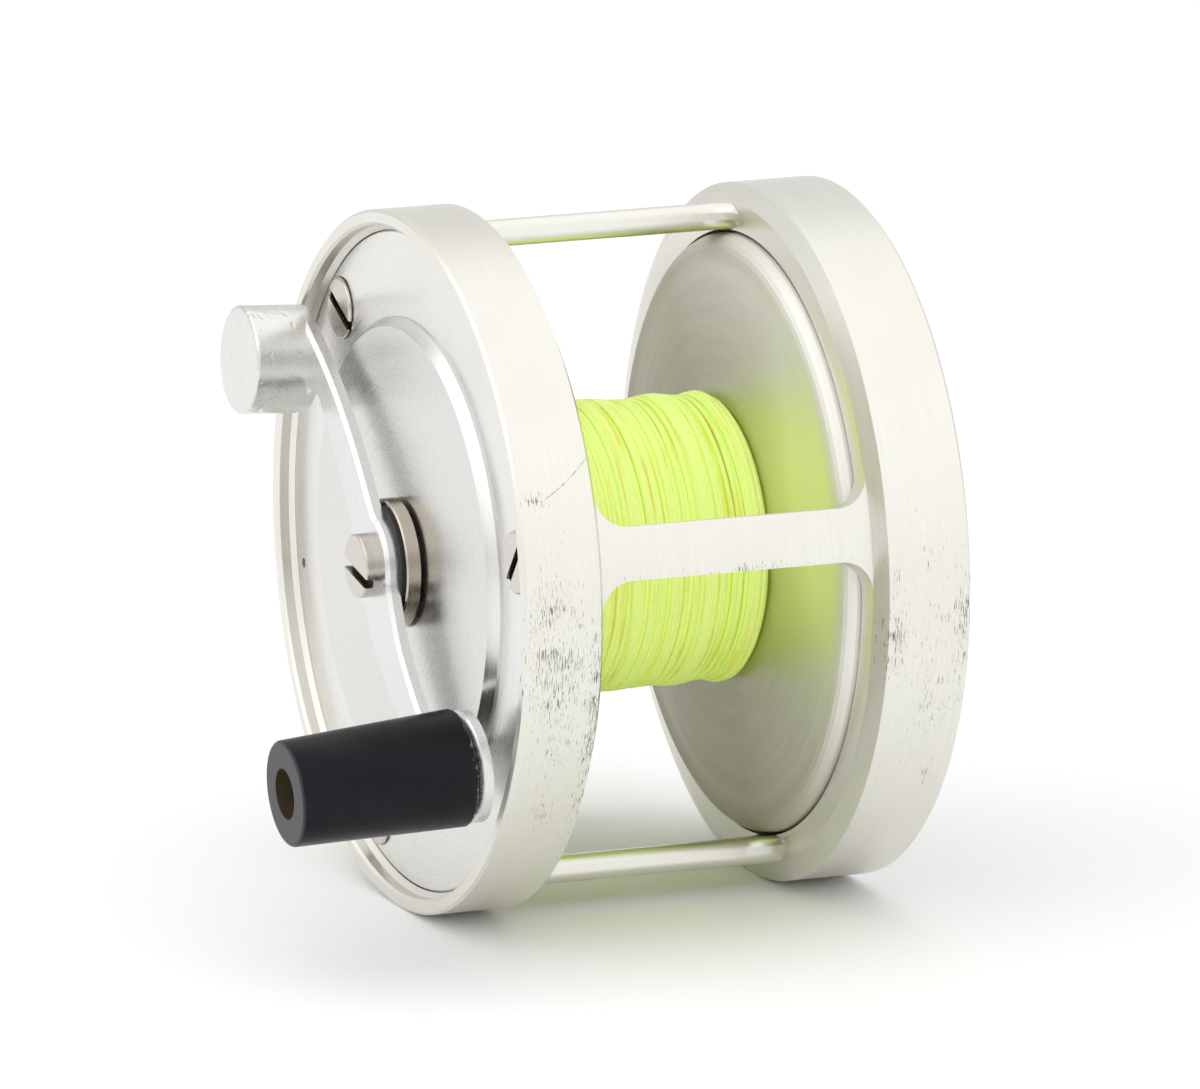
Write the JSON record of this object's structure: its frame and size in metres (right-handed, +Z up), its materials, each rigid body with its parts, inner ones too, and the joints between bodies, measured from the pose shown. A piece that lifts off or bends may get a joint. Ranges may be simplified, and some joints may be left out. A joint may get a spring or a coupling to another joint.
{
  "type": "fly fishing reel",
  "caption": "Fly fishing reel: open one-piece turned cage, narrow spool wound with backing line, S-shaped counterweighted crank and plain round foot plate.",
  "frame": {"origin": "middle of the reel's outline seen from above, on the surface it stands on", "axes": "+Y along the spindle away from the crank, +Z up as it stands on its rims and foot tip, +X to the right seen from the crank side"},
  "size_m": [0.0992, 0.092, 0.09],
  "materials": {
    "frame_aluminium": "satin turned",
    "plate_aluminium": "satin turned",
    "flange_aluminium": "turned, polished lip",
    "crank_aluminium": "polished",
    "weight_aluminium": "satin, dented",
    "screw_steel": "turned",
    "collar_steel": "turned",
    "shaft_steel": "ground",
    "bush_brass": "turned",
    "pin_brass": "dull",
    "washer_black": "fibre",
    "grip_black": "worn satin",
    "line_yellow": "fluorescent braid",
    "shoe_fibre": "brake lining",
    "pin_dark": "dark"
  },
  "bodies": {
    "cage": {"frame": "frame_aluminium", "face_plate": "plate_aluminium", "face_plate_screws": "screw_steel", "index_pin": "pin_dark", "front_bush": "bush_brass", "back_plate": "plate_aluminium", "back_plate_screws": "screw_steel", "back_bush": "bush_brass", "bearing_cap": "collar_steel", "reel_foot": "frame_aluminium", "foot_screws": "screw_steel", "shoe_pins": "shaft_steel", "pawl_pin": "shaft_steel", "pawl_spring": "shaft_steel"},
    "spool": {"spindle": "shaft_steel", "spool_arbor": "flange_aluminium", "spool_front_flange": "flange_aluminium", "spool_back_flange": "flange_aluminium", "backing_line": "line_yellow", "crank_collar": "collar_steel", "crank_washer": "washer_black", "crank_arm": "crank_aluminium", "crank_screw": "screw_steel", "counterweight": "weight_aluminium", "counterweight_pin": "shaft_steel", "grip_pin": "pin_brass", "brake_drum": "bush_brass", "click_gear": "shaft_steel"},
    "handle": {"grip": "grip_black"},
    "shoe_right": {"brake_shoe_right": "shoe_fibre"},
    "shoe_left": {"brake_shoe_left": "shoe_fibre"},
    "drag": {"drag_cam": "shaft_steel", "drag_lever": "crank_aluminium", "lever_screw": "screw_steel"},
    "pawl": {"click_pawl": "shaft_steel"}
  },
  "joints": [
    {"name": "spool_spin", "type": "hinge", "parent": "cage", "child": "spool", "pos_m": [0.00462, 0.01068, 0.045], "axis": [0, 1, 0], "continuous": true},
    {"name": "grip_spin", "type": "hinge", "parent": "spool", "child": "handle", "pos_m": [0.03501, -0.03403, 0.02457], "axis": [0.0021, -0.9982, -0.0593], "continuous": true},
    {"name": "drag_turn", "type": "hinge", "parent": "cage", "child": "drag", "pos_m": [0.00462, 0.04103, 0.0685], "axis": [0, 1, 0], "range_deg": [0, 45]},
    {"name": "shoe_right_swing", "type": "hinge", "parent": "cage", "child": "shoe_right", "pos_m": [0.00952, 0.03343, 0.02196], "axis": [0, 1, 0], "range_deg": [0, 0.9]},
    {"name": "shoe_left_swing", "type": "hinge", "parent": "cage", "child": "shoe_left", "pos_m": [-0.00028, 0.03343, 0.02196], "axis": [0, 1, 0], "range_deg": [-0.9, 0]},
    {"name": "pawl_swing", "type": "hinge", "parent": "cage", "child": "pawl", "pos_m": [0.01962, 0.03263, 0.045], "axis": [0, 1, 0], "range_deg": [-6, 6], "stiffness_Nm_per_rad": 0.002}
  ],
  "couplings": [
    {"joint": "shoe_right_swing", "follows": "drag_turn", "ratio": 0.02},
    {"joint": "shoe_left_swing", "follows": "drag_turn", "ratio": -0.02}
  ]
}
